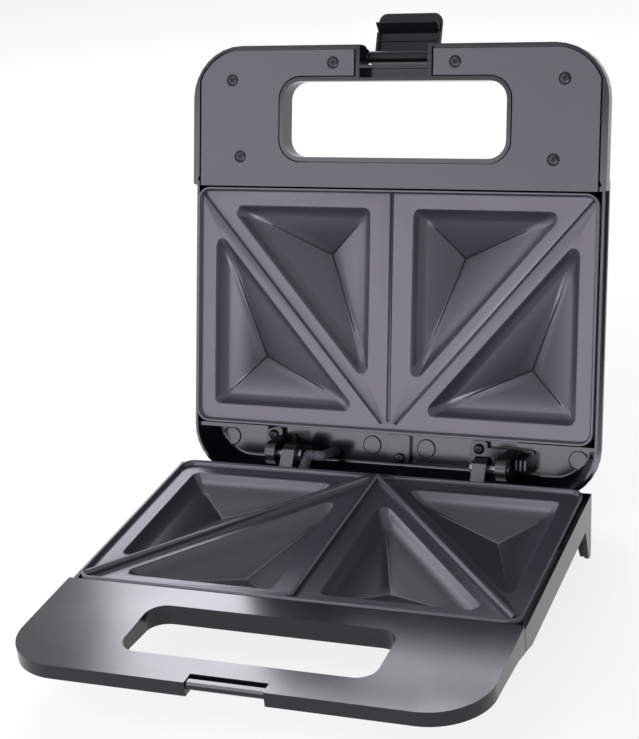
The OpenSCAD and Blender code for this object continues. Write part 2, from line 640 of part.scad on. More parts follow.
// Each arm has one screw, on its left side: outside the lug on the left, inside it on the right.
module hinge_arm(screw_x, foot_in, foot_out) difference() {
    union() {
        rod_x(lug_in, lug_out, lug_r);
        side_cut(lug_in, lug_out, [[-lug_r, 0], [lug_r, 0], [4.5, ceiling - hinge_foot_t + 0.2],
            [-7.5, ceiling - hinge_foot_t + 0.2]]);
        translate([0, 0, ceiling - hinge_foot_t]) linear_extrude(hinge_foot_t - 0.02) {
            round_rect(foot_in, foot_out, -7.5, 4.5, 2);
            round_rect(screw_x - 5, screw_x + 4.6, -11, 4.5, 2);
        }
        // stiffening ribs beside the lug
        if (screw_x < lug_in) for (i = [0:2]) side_cut(lug_out + 1.6 + 2.3 * i, lug_out + 2.7 + 2.3 * i,
            [[-6.6, ceiling - hinge_foot_t + 0.2], [-5, 8.6], [-4, 7.6], [1.4, 7.6], [2.4, 8.6], [3.8, ceiling - hinge_foot_t + 0.2]]);
    }
    rod_x(lug_in - 1, lug_out + 1, hinge_pin_r + pin_fit);
    translate([screw_x, arm_screw_y, 0]) cylinder(h = 40, r = screw_r + 0.1);
}
module hinge_arm_left() color(shell_black) in_lid() mirror([1, 0, 0])
    hinge_arm(arm_screw_out, lug_in - 2.4, arm_screw_out + 4.6);
module hinge_arm_right() color(shell_black) in_lid() hinge_arm(arm_screw_in, arm_screw_in - 5, lug_out + 8.6);
module hinge_arm_screws() color(steel) in_lid()
    for (x = [-arm_screw_out, arm_screw_in]) translate([x, arm_screw_y, ceiling - hinge_foot_t]) {
        translate([0, 0, -1.6]) cylinder(h = 1.6, r = screw_head_r);
        translate([0, 0, -eps]) cylinder(h = hinge_foot_t + 1, r = screw_r - 0.02);
    }
// Heat-proof sleeve over the wires, split on the hinge axis so that opening only twists it.
sleeve_r = 2.6;
sleeve_x = 40;
sleeve_run = 4;
module wire_sleeve_base() color(cream) in_base() {
    translate([-sleeve_x - sleeve_run, 0, 0]) sphere(sleeve_r);
    rod_x(-sleeve_x - sleeve_run, -sleeve_x - 0.15, sleeve_r);
    translate([-sleeve_x - sleeve_run, 0, 0]) rotate([90 + 25, 0, 0])
        cylinder(h = rear_face - 0.2, r = sleeve_r);
}
module wire_sleeve_lid() color(cream) in_lid() {
    rod_x(-sleeve_x + 0.15, -sleeve_x + sleeve_run, sleeve_r);
    translate([-sleeve_x + sleeve_run, 0, 0]) sphere(sleeve_r);
    translate([-sleeve_x + sleeve_run, 0, 0]) cylinder(h = ceiling - 0.7, r = sleeve_r);
}

// Lid shell: one crowned shell over plate and handle.
module lid_layer(z, x_in, y_front, y_rear, rf, rr) translate([0, 0, z]) linear_extrude(0.02)
    hull() for (s = [-1, 1]) {
        translate([s * (hw - x_in - rf), y_front + rf]) circle(rf, $fn = soft);
        translate([s * (hw - x_in - rr), y_rear - rr]) circle(rr, $fn = soft);
    }
function slope_in(z) = lid_slope_in * (z - lid_band) / (lid_top - 1.2 - lid_band);
module lid_body(t) hull() {
    lid_layer(t > 0 ? -1 : face, t, -bay_rear - 10 + t, lid_rear - t, 6, corner_r - t);
    lid_layer(lid_band, t, -bay_rear - 10 + t, lid_rear - t, 6, corner_r - t);
    lid_layer(lid_top - 1.2 - t, t + slope_in(lid_top - 1.2), -bay_rear + 5 + t,
        lid_rear - t - slope_in(lid_top - 1.2) * 1.1, 10, corner_r - t - lid_slope_in);
    lid_layer(lid_top - 0.02 - t, t + lid_slope_in + 2, -bay_rear + 8 + t,
        lid_rear - t - lid_slope_in * 1.1 - 2, 10, corner_r - t - lid_slope_in - 2);
}
module lid_handle(t) hull() {
    lid_layer(t > 0 ? -1 : face, t, -front_reach + t, -bay_rear + 4, corner_r - t, 3);
    lid_layer(lid_edge_h, t, -front_reach + t, -bay_rear + 4, corner_r - t, 3);
    lid_layer(lid_handle_t - 1.8 - t, t + 0.9, -front_reach + t + 0.9, -bay_rear + 4, corner_r - t - 0.9, 3);
    lid_layer(lid_handle_t - 0.4 - t, t + 2.2, -front_reach + t + 2.2, -bay_rear + 4, corner_r - t - 2.2, 3);
    lid_layer(lid_handle_t - 0.02 - t, t + 3.6, -front_reach + t + 3.6, -bay_rear + 4, corner_r - t - 3.6, 3);
}
handle_screws = [
    [hw - 22.6, -opening_far - 0.7], [33.4, -opening_far - 9.6], [hw - 27.5, -opening_near + 0.1]
];
cover_rear = plate_front + 0.8;
cover_seat = face + cover_t;
// The notch opens right through at the front; behind the bar it is a slot under the skin.
module lid_notch() {
    translate([-notch_hw, -front_reach - 1, -20]) cube([2 * notch_hw, front_reach - notch_step + 1, 60]);
    translate([-notch_hw, -front_reach - 1, -20])
        cube([2 * notch_hw, front_reach - notch_rear + 1, 20 + lid_handle_t - wall]);
}
notch_step = pivot_reach - latch_barrel_r - 2;
bar_y = -pivot_reach + 4.7;
lens_x = 14;
lens_y = -plate_front + 47.7;
lens_r = 4;
module lid_shell() {
    $fn = soft;
    color(shell_black) in_lid() {
        lid_shell_form();
        // bar across the notch, in front of the slot
        translate([-notch_hw - 0.7, bar_y, face + 0.1]) cube([2 * notch_hw + 1.4, 1.6, 4.4]);
    }
}
module lid_shell_form() difference() {
    union() {
        lid_body(0);
        lid_handle(0);
        // cheeks of the latch
        both_sides() {
            translate([notch_hw - 0.5, -pivot_reach, pivot_h]) rod_x(0, cheek_t + 0.3, 4.2);
            side_cut(notch_hw - 0.6, notch_hw + cheek_t - 0.35, [[-pivot_reach - 2.6, 4], [-pivot_reach - 2.6, pivot_h],
                [-pivot_reach + 3, pivot_h + 0.5], [-notch_rear - 0.4, lid_handle_t - 1], [-notch_rear - 0.4, 4]]);
        }
    }
    // hollow over the plate; what is left standing are the walls, the mark and the lamp seat
    difference() {
        lid_body(wall);
        translate([-hw, -bay_rear - wall, -20]) cube([body_w, wall, 80]);
        translate([0, 0, -20]) linear_extrude(80) opening_plan(wall);
        difference() {
            translate([-hw, -plate_rear + 1.2, plate_under + 0.6]) cube([body_w, 2, 60]);
            translate([-70, -plate_rear, 0]) cube([140, 6, ceiling - 4]);
        }
        for (p = [[-98.5, -4], [98.5, -4], [-15.4, -4.5], [15.4, -4.5]]) translate([p[0], p[1], ceiling - 0.5])
            cylinder(h = 5, r = 4.8);
        translate([0, 0, ceiling - 0.5]) intersection() {
            translate([arm_screw_in - 3.9, -3.4, 0]) cylinder(h = 5, r = 5);
            translate([0, -20, -1]) cube([arm_screw_in - 5.2, 40, 8]);
        }
        translate([-sleeve_x + sleeve_run, 0, ceiling - 0.4]) cylinder(h = 5, r = sleeve_r + 1.5, $fn = 24);
    }
    // hollow of the handle above the cover's seat
    translate([0, 0, cover_seat - 0.5]) linear_extrude(lid_handle_t - wall - cover_seat + 0.5) difference() {
        front_plan(wall + 3.8, bay_rear + wall);
        opening_plan(wall);
        translate([-notch_hw - cheek_t, -front_reach - 1])
            square([2 * (notch_hw + cheek_t), front_reach - notch_rear + 1 + wall]);
        both_sides() for (p = handle_screws) translate(p) circle(3.4, $fn = 24);
    }
    translate([0, 0, -20]) linear_extrude(80) opening_plan(0);
    lid_notch();
    // seat of the handle cover
    translate([0, 0, -20]) linear_extrude(20 + cover_seat) intersection() {
        translate([-hw + cover_side_rim, -front_reach + cover_front_rim]) square([body_w - 2 * cover_side_rim, 100]);
        difference() {
            front_plan(1.4, cover_rear);
            opening_plan(opening_rim);
            translate([-notch_hw - 2.2, -front_reach - 1]) square([2 * (notch_hw + 2.2), front_reach - notch_rear + 3.2]);
        }
    }
    both_sides() for (p = handle_screws) translate([p[0], p[1], 0]) cylinder(h = lid_handle_t - 2, r = screw_r, $fn = 20);
    // lip beside the plate, set back
    difference() {
        translate([-hw - 5, -cover_rear - 0.6, -5]) cube([2 * hw + 10, 200, 5 + lid_band - 2]);
        translate([0, 0, -6]) linear_extrude(30) lid_lip_plan();
    }
    translate([-hw - 6, -cover_rear - 0.2, -6]) cube([2 * hw + 12, 210, 6 + lid_lip_z]);
    // pin through the cheeks
    translate([0, -pivot_reach, pivot_h]) rod_x(-notch_hw - cheek_t + 0.6, notch_hw + cheek_t - 0.6, latch_pin_r + 0.02);
    // holes of the lamps
    for (s = [-1, 1]) translate([s * lens_x, lens_y, ceiling - 5]) cylinder(h = 20, r = lens_r + 0.1);
    // screws of the hinge arms
    for (x = [-arm_screw_out, arm_screw_in]) translate([x, arm_screw_y, ceiling - 1])
        cylinder(h = 2.1, r = screw_r + 0.02, $fn = 20);
    // slots in the bay's floor
    for (q = bay_slots) translate([q[0], -plate_rear + 1.3, ceiling - 1]) cube([q[1] - q[0], q[2] + plate_rear - 1.3, 2.4]);
}
module lid_lip_plan() {
    w = hw - lid_lip_in;
    r = corner_r - lid_lip_in;
    translate([-w, -front_reach]) square([2 * w, front_reach + lid_rear - lid_lip_in - r]);
    translate([-w + r, -50]) square([2 * (w - r), 50 + lid_rear - lid_lip_in]);
    for (s = [-1, 1]) translate([s * (w - r), lid_rear - lid_lip_in - r]) circle(r);
}
module handle_cover() color(cover_black) in_lid() translate([0, 0, face]) linear_extrude(cover_t - 0.02)
    difference() {
        intersection() {
            front_plan(1.4 + cover_groove, cover_rear);
            translate([-hw + cover_side_rim + cover_groove, -front_reach + cover_front_rim + cover_groove])
                square([body_w - 2 * (cover_side_rim + cover_groove), 100]);
        }
        opening_plan(opening_rim + 2 * small_gap);
        translate([-notch_hw - 2.2 - cover_groove, -front_reach - 1])
            square([2 * (notch_hw + 2.2 + cover_groove), front_reach - notch_rear + 3.2 + cover_groove]);
        both_sides() for (p = handle_screws) translate(p) circle(screw_r + 0.1);
    }
module handle_cover_screws() color(steel) in_lid() both_sides() for (p = handle_screws)
    translate([p[0], p[1], face]) {
        translate([0, 0, -0.5]) cylinder(h = 0.5, r = screw_head_r);
        translate([0, 0, -eps]) cylinder(h = cover_t + 5, r = screw_r - 0.02);
    }
bay_slots = [[-arm_screw_out + 4.8, -lug_in + 2.6, -7.8], [arm_screw_in + 4.8, lug_out + 1.8, -7.8], [6.8, 9.8, 3]];
bay_floor_rear = lid_rear - wall - lid_slope_in * 1.1 - 2;
module bay_strip() color(shell_black) in_lid() translate([0, 0, ceiling - 1.6]) linear_extrude(1.58) difference() {
    round_rect(-6.4, 6.4, -11.2, bay_floor_rear - 0.4, 1);
    translate([0.9, bay_floor_rear - 3.5]) circle(screw_r + 0.1);
}
module bay_strip_screw() color(steel) in_lid() translate([0.9, bay_floor_rear - 3.5, ceiling - 1.6]) {
    translate([0, 0, -1.8]) cylinder(h = 1.8, r = screw_head_r);
    translate([0, 0, -eps]) cylinder(h = 1.55, r = screw_r);
}
module lens() translate([0, 0, ceiling - 1]) {
    cylinder(h = wall + 1.8, r = lens_r);
    translate([0, 0, -1]) cylinder(h = 1.9, r = lens_r + 1.2);
}
module power_lens() color("firebrick") in_lid() translate([-lens_x, lens_y, 0]) lens();
module ready_lens() color("seagreen") in_lid() translate([lens_x, lens_y, 0]) lens();
module lamp_board() color(cream) in_lid() translate([-lens_x - 2 * lens_r, lens_y - 1.75 * lens_r, ceiling - 3.2])
    cube([2 * lens_x + 4 * lens_r, 3.5 * lens_r, 1.15]);

module latch_pin() color(steel) in_lid() translate([0, -pivot_reach, pivot_h])
    rod_x(-notch_hw - cheek_t + 0.8, notch_hw + cheek_t - 0.8, latch_pin_r);
// Latch, hanging shut: u forward and v down from the pivot.
module latch_cut(w, points) side_cut(-w / 2, w / 2, [for (p = points) [-p[0], -p[1]]]);
module latch() color(shell_black) in_latch() difference() {
    union() {
        rod_x(-latch_w / 2, latch_w / 2, latch_barrel_r);
        // web from the barrel over the handle's edge to the panel
        latch_cut(latch_w, [[0, -latch_barrel_r], [0, -latch_barrel_r + 2.2], [latch_panel_out, 0.6],
            [latch_panel_out + latch_t, 0.6], [latch_panel_out + latch_t, -0.6], [latch_panel_out, -2.2]]);
        // panel with round lower corners
        intersection() {
            latch_cut(latch_w, [[latch_panel_out, 0], [latch_panel_out + latch_t, 0],
                [latch_panel_out + latch_t, latch_len - 1], [latch_panel_out + latch_t - 1, latch_len],
                [latch_panel_out + 0.4, latch_len], [latch_panel_out, latch_len - 0.4]]);
            rotate([90, 0, 0]) linear_extrude(40) round_rect(-latch_w / 2, latch_w / 2, -latch_len, 10, 5);
        }
        // tooth across the panel
        latch_cut(latch_w - 1.2, [[latch_panel_out + 0.1, tooth_low - 4.5], [latch_panel_out, tooth_low - 4.5],
            [latch_panel_out - tooth_in, tooth_low - 0.5], [latch_panel_out - tooth_in, tooth_low],
            [latch_panel_out + 0.1, tooth_low + 0.8]]);
        // stiffening rib and side flanges
        latch_cut(latch_w - 1.2, [[latch_panel_out + 0.1, 11], [latch_panel_out - 0.7, 11.3],
            [latch_panel_out - 0.7, 12.1], [latch_panel_out + 0.1, 12.4]]);
        for (s = [-1, 1]) translate([s * (latch_w / 2 - 0.8), 0, 0]) latch_cut(1.6, [[latch_panel_out + 0.1, 0],
            [latch_panel_out - 1.8, 0], [latch_panel_out - 1.6, tooth_low - 4], [latch_panel_out + 0.1, tooth_low - 4]]);
    }
    rod_x(-latch_w / 2 - 1, latch_w / 2 + 1, latch_pin_r + pin_fit);
}

base_housing();
bottom_cover();
bottom_cover_screws();
front_feet();
lower_plate();
lower_plate_screws();
lower_heating_element();
lower_heat_shield();
thermostat();
thermal_fuse();
terminal_block();
cord_inlet();
hinge_post_left();
hinge_post_right();
hinge_pin_left();
hinge_pin_right();
wire_sleeve_base();
lid_shell();
handle_cover();
handle_cover_screws();
upper_plate();
upper_plate_screws();
upper_heating_element();
upper_heat_shield();
hinge_arm_left();
hinge_arm_right();
hinge_arm_screws();
bay_strip();
bay_strip_screw();
wire_sleeve_lid();
power_lens();
ready_lens();
lamp_board();
latch_pin();
latch();
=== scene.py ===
# %% [markdown]
# # A sandwich toaster, from its frame to its picture
# The frame is a finished construction: housings, plates, hinges and latch, each in its
# place and each on the body that it moves with. This lesson gives it the looks of the real
# toaster. The pieces already share one set of axes: x to the right across the handles, y
# from the handle to the hinge, z up from the table.

import json
import math

import bmesh
import bpy
from mathutils import Matrix, Vector


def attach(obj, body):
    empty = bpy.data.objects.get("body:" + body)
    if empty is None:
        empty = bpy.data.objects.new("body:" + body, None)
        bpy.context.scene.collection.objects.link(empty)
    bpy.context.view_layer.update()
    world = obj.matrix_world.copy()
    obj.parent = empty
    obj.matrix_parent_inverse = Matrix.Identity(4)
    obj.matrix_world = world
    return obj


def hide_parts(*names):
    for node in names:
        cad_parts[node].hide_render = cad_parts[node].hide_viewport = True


MM = 0.001

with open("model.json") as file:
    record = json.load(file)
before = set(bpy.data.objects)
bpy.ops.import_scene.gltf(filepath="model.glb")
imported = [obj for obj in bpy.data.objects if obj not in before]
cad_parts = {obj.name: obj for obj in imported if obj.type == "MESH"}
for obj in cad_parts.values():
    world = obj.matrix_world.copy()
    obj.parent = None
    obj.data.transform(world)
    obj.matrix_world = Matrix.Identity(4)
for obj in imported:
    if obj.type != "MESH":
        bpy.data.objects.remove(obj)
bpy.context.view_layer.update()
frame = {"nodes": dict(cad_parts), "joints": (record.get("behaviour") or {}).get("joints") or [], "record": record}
nodes = frame["nodes"]

# %% [markdown]
# ## Where the lid stands
# The lid rests wide open. A piece that sits on the lid is easiest to think of with the lid
# shut, lying flat, so one matrix carries such a piece from that place to the open one. The
# hinge's place comes from the frame's own joint, so the two can't drift apart.

# %% The lid's own axes
LID_OPEN_DEG = 108.0  # from shut to the stop
lid_joint = next(joint for joint in frame["joints"] if joint["name"] == "lid_hinge")
hinge_place = Matrix.Translation(Vector(lid_joint["pos_m"]))
lid_place = hinge_place @ Matrix.Rotation(math.radians(-LID_OPEN_DEG), 4, "X")
print("hinge at", [round(v, 4) for v in hinge_place.translation])

# %% [markdown]
# ## The camera
# The photograph looks down on the open toaster from the front right with a long lens. The
# camera's place was found by matching corners of the plates, the handles and the hinge to
# the picture. The three directions below are the picture's right, up and forward.

# %% Place the camera
PICTURE_HEIGHT = 739
FOCAL_PIXELS = 1797.8
SENSOR_MM = 36.0
CAMERA_PLACE = Vector((0.30826, -0.74128, 0.45270))
right = Vector((0.93120, 0.35071, -0.09938))
upward = Vector((-0.05247, 0.39876, 0.91555))
forward = Vector((-0.36072, 0.84735, -0.38973))

camera_data = bpy.data.cameras.new("photo_camera")
camera_data.sensor_width = SENSOR_MM
camera_data.lens = FOCAL_PIXELS * SENSOR_MM / PICTURE_HEIGHT
camera_data.clip_start, camera_data.clip_end = 0.02, 20
camera = bpy.data.objects.new("photo_camera", camera_data)
bpy.context.scene.collection.objects.link(camera)
turn = Matrix((right, upward, -forward)).transposed().to_4x4()
camera.matrix_world = Matrix.Translation(CAMERA_PLACE) @ turn
bpy.context.scene.camera = camera
bpy.context.scene.view_settings.view_transform = "Standard"
print("lens in mm:", round(camera_data.lens, 2))

# %% [markdown]
# ## Four small tools for materials
# Colours are written as the hex values that a picture program shows. Blender counts in
# linear light, so one function turns them. A second one adds a shader node, sets it and
# links it on both sides, which keeps a material short enough to read. A third one opens a
# material, and the last one turns a real size into the scale of a texture.

# %% Colour and node helpers
def linear(hex_colour):
    """sRGB hex such as 'A0B1C2' to a linear RGBA."""
    shares = [int(hex_colour[i:i + 2], 16) / 255 for i in (0, 2, 4)]
    return tuple(c / 12.92 if c <= 0.04045 else ((c + 0.055) / 1.055) ** 2.4 for c in shares) + (1.0,)


def add(tree, kind, inputs=None, feeds=None, **settings):
    """A new node with its settings and links.

    An input is a value or another node's output, and feeds says which socket each of its
    own outputs goes to.
    """
    made = tree.nodes.new(kind)
    for key, value in settings.items():
        setattr(made, key, value)
    for key, value in (inputs or {}).items():
        if isinstance(value, bpy.types.NodeSocket):
            tree.links.new(value, made.inputs[key])
        else:
            made.inputs[key].default_value = value
    for key, socket in (feeds or {}).items():
        tree.links.new(made.outputs[key], socket)
    return made


def start_finish(name, colour, roughness, metallic=0.0, ior=1.5, specular=0.5):
    """A material with its tree, its shader's inputs and the object's own coordinates."""
    material = bpy.data.materials.new(name)
    material.use_nodes = True
    tree = material.node_tree
    shader = tree.nodes["Principled BSDF"].inputs
    shader["Base Color"].default_value = linear(colour)
    shader["Roughness"].default_value = roughness
    shader["Metallic"].default_value = metallic
    shader["IOR"].default_value = ior
    shader["Specular IOR Level"].default_value = specular
    place = add(tree, "ShaderNodeTexCoord").outputs["Object"]
    print("started", name)
    return material, tree, shader, place


def per_mm(size_mm):
    """Texture scale at which one feature of a noise is about size_mm across."""
    return 1 / (size_mm * MM)


# %% [markdown]
# ## Glossy black housings
# Both housings are injection-moulded ABS. Such a moulding comes out of a polished tool
# nearly black and smooth, and what the eye gets from it is a soft reflection that rolls over
# the edges. Two things keep it from looking like paint: colour and gloss drift a little over
# a few centimetres, where the wall sank in cooling, and the skin has a very fine peel.

# %% Moulded ABS, polished tool
abs_gloss, tree, shader, place = start_finish("moulded_abs_gloss", "100F13", 0.16, specular=0.4)
haze = add(tree, "ShaderNodeTexNoise", {"Vector": place, "Scale": per_mm(26), "Detail": 3.0})
add(tree, "ShaderNodeMapRange", {"Value": haze.outputs["Fac"], "To Min": 0.13, "To Max": 0.20},
    feeds={"Result": shader["Roughness"]})
tint = add(tree, "ShaderNodeValToRGB", {"Fac": haze.outputs["Fac"]}, feeds={"Color": shader["Base Color"]})
tint.color_ramp.elements[0].color = linear("0D0C10")
tint.color_ramp.elements[1].color = linear("131217")
# the peel is drawn a little coarser than the real one, so that it shows
peel = add(tree, "ShaderNodeTexNoise", {"Vector": place, "Scale": per_mm(0.9), "Detail": 2.0})
add(tree, "ShaderNodeBump", {"Height": peel.outputs["Fac"], "Strength": 0.04, "Distance": 0.2 * MM},
    feeds={"Normal": shader["Normal"]})

# %% [markdown]
# ## Satin handle cover
# The flat cover screwed into the lid's handle is the same plastic from a lightly etched
# tool. Etching leaves a grain of a few tenths of a millimetre, which spreads the reflection
# so that the cover reads as a calm grey beside the glossier rim.

# %% Moulded ABS, etched tool
abs_satin, tree, shader, place = start_finish("moulded_abs_satin", "2C2A31", 0.40)
cloud = add(tree, "ShaderNodeTexNoise", {"Vector": place, "Scale": per_mm(40), "Detail": 2.0})
add(tree, "ShaderNodeMapRange", {"Value": cloud.outputs["Fac"], "To Min": 0.38, "To Max": 0.47},
    feeds={"Result": shader["Roughness"]})
tint = add(tree, "ShaderNodeValToRGB", {"Fac": cloud.outputs["Fac"]}, feeds={"Color": shader["Base Color"]})
tint.color_ramp.elements[0].color = linear("2A282F")
tint.color_ramp.elements[1].color = linear("2F2D34")
etch = add(tree, "ShaderNodeTexNoise", {"Vector": place, "Scale": per_mm(0.35), "Detail": 3.0})
add(tree, "ShaderNodeBump", {"Height": etch.outputs["Fac"], "Strength": 0.08, "Distance": 0.1 * MM},
    feeds={"Normal": shader["Normal"]})

# %% [markdown]
# ## Non-stick plates
# The plates are cast aluminium under a sprayed and baked non-stick coat. The coat is dark
# grey with a fine metallic pigment, and the spray dries to a slight pebble. Pigment and
# pebble are about half a millimetre; under soft light they give a broad, quiet sheen that
# shows the shape of the pockets better than a glossy finish would.

# %% Sprayed non-stick coat
coat, tree, shader, place = start_finish("sprayed_non_stick", "37353D", 0.32,
                                         metallic=0.35, ior=1.45, specular=0.65)
fleck = add(tree, "ShaderNodeTexNoise",
            {"Vector": place, "Scale": per_mm(0.45), "Detail": 4.0, "Roughness": 0.7})
tint = add(tree, "ShaderNodeValToRGB", {"Fac": fleck.outputs["Fac"]})
tint.color_ramp.elements[0].position = 0.30
tint.color_ramp.elements[0].color = linear("34323A")
tint.color_ramp.elements[1].position = 0.72
tint.color_ramp.elements[1].color = linear("3F3D45")
add(tree, "ShaderNodeBump", {"Height": fleck.outputs["Fac"], "Strength": 0.06, "Distance": 0.1 * MM},
    feeds={"Normal": shader["Normal"]})

# %% [markdown]
# ## Painted shade in the plates' corners
# The coat is painted darker in the seams and creases, as painted shade, and made duller there.
# Ambient occlusion finds those places: it measures how much of the surroundings a point can
# see. The reach is a little more than a crease's own width.

# %% Paint shade into the corners of the coat and dull them
SHADE_REACH_MM = 1.3
CORNER_DULLNESS = 0.55
# the Mix node's colour sockets share their names with its other sockets, so they go by number
MIX_A, MIX_B, MIX_COLOUR = 6, 7, 2
corner_occlusion = add(tree, "ShaderNodeAmbientOcclusion", {"Distance": SHADE_REACH_MM * MM}, samples=8, only_local=True)
unshaded = add(tree, "ShaderNodeMapRange", {"Value": corner_occlusion.outputs["AO"], "From Min": 0.45, "From Max": 0.9})
# the near-black colour is painted shade, mixed into the coat where the corners are shaded
add(tree, "ShaderNodeMix",
    {"Factor": unshaded.outputs["Result"], MIX_A: linear("0C0B0E"), MIX_B: tint.outputs["Color"]},
    feeds={MIX_COLOUR: shader["Base Color"]}, data_type="RGBA")
rubbed = add(tree, "ShaderNodeTexNoise", {"Vector": place, "Scale": per_mm(30), "Detail": 3.0})
rough = add(tree, "ShaderNodeMapRange", {"Value": rubbed.outputs["Fac"], "To Min": 0.28, "To Max": 0.35})
# the shaded corners are also made rougher, a real change of gloss
shaded = add(tree, "ShaderNodeMath", {0: 1.0, 1: unshaded.outputs["Result"]}, operation="SUBTRACT")
add(tree, "ShaderNodeMath", {0: shaded.outputs[0], 1: CORNER_DULLNESS, 2: rough.outputs["Result"]},
    feeds={0: shader["Roughness"]}, operation="MULTIPLY_ADD")
print("soil within", SHADE_REACH_MM, "mm of a corner")

# %% [markdown]
# ## Painted light in the creases
# The creases of a pocket end in a groove about a millimetre wide. In the lid the groove's
# walls are painted near-black and dull, as painted shade, so those creases read as dark lines.
# In the base they are glossy and painted a little lighter than the coat, a real gloss with a
# painted highlight, so the same grooves turn into thin lines of light.

# %% Painted shade and painted highlight for the grooves
def crease_finish(name, colour, roughness, specular, gloss_range, patch_mm, detail):
    made, tree, shader, place = start_finish(name, colour, roughness, ior=1.47, specular=specular)
    patch = add(tree, "ShaderNodeTexNoise", {"Vector": place, "Scale": per_mm(patch_mm), "Detail": detail})
    low, high = gloss_range
    add(tree, "ShaderNodeMapRange", {"Value": patch.outputs["Fac"], "To Min": low, "To Max": high},
        feeds={"Result": shader["Roughness"]})
    return made


# near-black and dull: painted shade in the lid's grooves
crease_shade_paint = crease_finish("painted_crease_shade", "060507", 0.55, 0.2, (0.45, 0.70), patch_mm=0.7, detail=3.0)
# glossy and lighter than the coat: real gloss with a painted highlight in the base's grooves
crease_highlight_paint = crease_finish("painted_crease_highlight", "4A484F", 0.22, 0.9, (0.16, 0.30), patch_mm=5, detail=2.0)

# %% [markdown]
# ## Plain mouldings
# The latch and the hinge parts are a tougher, glass-filled plastic with a duller face, and
# the underside is the housing's plastic from a plain tool. All are nearly black. The feet
# and the cord's grommet are moulded rubber, which scatters light and never shines. What they
# share is one fine grain that moves both the gloss and the skin, so one function makes them.

# %% Glass-filled nylon, the underside and rubber
def moulding(name, colour, roughness, gloss_range, grain_mm, detail, bump, ior=1.5, specular=0.5, swirl=0.0):
    made, tree, shader, place = start_finish(name, colour, roughness, ior=ior, specular=specular)
    grain = add(tree, "ShaderNodeTexNoise",
                {"Vector": place, "Scale": per_mm(grain_mm), "Detail": detail, "Distortion": swirl})
    low, high = gloss_range
    add(tree, "ShaderNodeMapRange", {"Value": grain.outputs["Fac"], "To Min": low, "To Max": high},
        feeds={"Result": shader["Roughness"]})
    add(tree, "ShaderNodeBump", {"Height": grain.outputs["Fac"], "Strength": bump, "Distance": 0.2 * MM},
        feeds={"Normal": shader["Normal"]})
    return made


nylon = moulding("glass_filled_nylon", "0A0A0C", 0.30, (0.24, 0.38), grain_mm=1.6, detail=5.0, bump=0.08,
                 ior=1.53, specular=0.4, swirl=1.2)
latch_nylon = moulding("moulded_nylon_dull", "08080A", 0.48, (0.40, 0.56), grain_mm=3.0, detail=4.0,
                       bump=0.06, specular=0.16)
abs_matt = moulding("moulded_abs_matt", "2A292D", 0.55, (0.48, 0.62), grain_mm=0.5, detail=3.0, bump=0.2)
rubber = moulding("moulded_rubber", "1F1F20", 0.78, (0.70, 0.88), grain_mm=1.1, detail=4.0, bump=0.25,
                  ior=1.52)

# %% [markdown]
# ## Metals
# The screws are steel with a dark zinc finish, the hinge pins are drawn wire under grease, the
# heating tubes are steel gone dull with heat, and the shields are bare sheet. Each is one
# metal with its own roughness and its own fine streaks or stains, stretched along the way
# that it was drawn or rolled. The screws' crosses and the seats round them are painted
# near-black, as painted shade.

# %% Screws, pins, tubes and sheet
def metal(name, colour, low, high, size_mm, stretch=(1, 1, 1)):
    made, tree, shader, place = start_finish(name, colour, (low + high) / 2, metallic=1.0)
    along = add(tree, "ShaderNodeMapping", {"Vector": place, "Scale": stretch})
    streak = add(tree, "ShaderNodeTexNoise",
                 {"Vector": along.outputs["Vector"], "Scale": per_mm(size_mm), "Detail": 4.0})
    add(tree, "ShaderNodeMapRange", {"Value": streak.outputs["Fac"], "To Min": low, "To Max": high},
        feeds={"Result": shader["Roughness"]})
    add(tree, "ShaderNodeBump", {"Height": streak.outputs["Fac"], "Strength": 0.06, "Distance": 0.1 * MM},
        feeds={"Normal": shader["Normal"]})
    return made


dark_zinc = metal("black_zinc_steel", "2C2B30", 0.26, 0.40, 0.6)
pin_steel = metal("greased_pin_steel", "5C5B60", 0.26, 0.40, 0.5, stretch=(0.05, 1, 1))
heat_tube = metal("heat_dulled_steel", "6E6A66", 0.42, 0.62, 2.5)
bare_sheet = metal("bare_sheet_metal", "B8B9BC", 0.30, 0.45, 1.2, stretch=(1, 0.1, 1))
# near-black and dull: painted shade in the screws' crosses and seats
recess_painted_shade = start_finish("painted_recess_shade", "08080A", 0.75)[0]

# %% [markdown]
# ## Heat-proof plastic
# The thermostat, the terminal block and the lamp board are heat-proof plastic, off-white and
# slightly mottled, because its filler never mixes in quite evenly.

# %% Mottled off-white
cream, tree, shader, place = start_finish("heat_proof_plastic", "D9D4C6", 0.5, ior=1.55)
mottle = add(tree, "ShaderNodeTexNoise", {"Vector": place, "Scale": per_mm(4), "Detail": 4.0})
tint = add(tree, "ShaderNodeValToRGB", {"Fac": mottle.outputs["Fac"]}, feeds={"Color": shader["Base Color"]})
tint.color_ramp.elements[0].color = linear("CFC9B9")
tint.color_ramp.elements[1].color = linear("E0DCD0")

# %% [markdown]
# ## Braided sleeve
# The wires cross the hinge in a braided glass-fibre sleeve. Two sets of strands cross in a
# braid, so two diagonal waves a quarter turn apart are laid over each other, and the higher
# of the two at each point is the strand on top.

# %% Cross the strands
STRAND_MM = 6.5
braid, tree, shader, place = start_finish("braided_glass_fibre", "3B3A3E", 0.8)
turned = add(tree, "ShaderNodeMapping", {"Vector": place, "Rotation": (0.0, 0.0, math.radians(90))})
strands = [add(tree, "ShaderNodeTexWave", {"Vector": way, "Scale": per_mm(STRAND_MM), "Distortion": 0.4},
               bands_direction="DIAGONAL") for way in (place, turned.outputs["Vector"])]
top = add(tree, "ShaderNodeMath", {i: strand.outputs["Fac"] for i, strand in enumerate(strands)},
          operation="MAXIMUM")
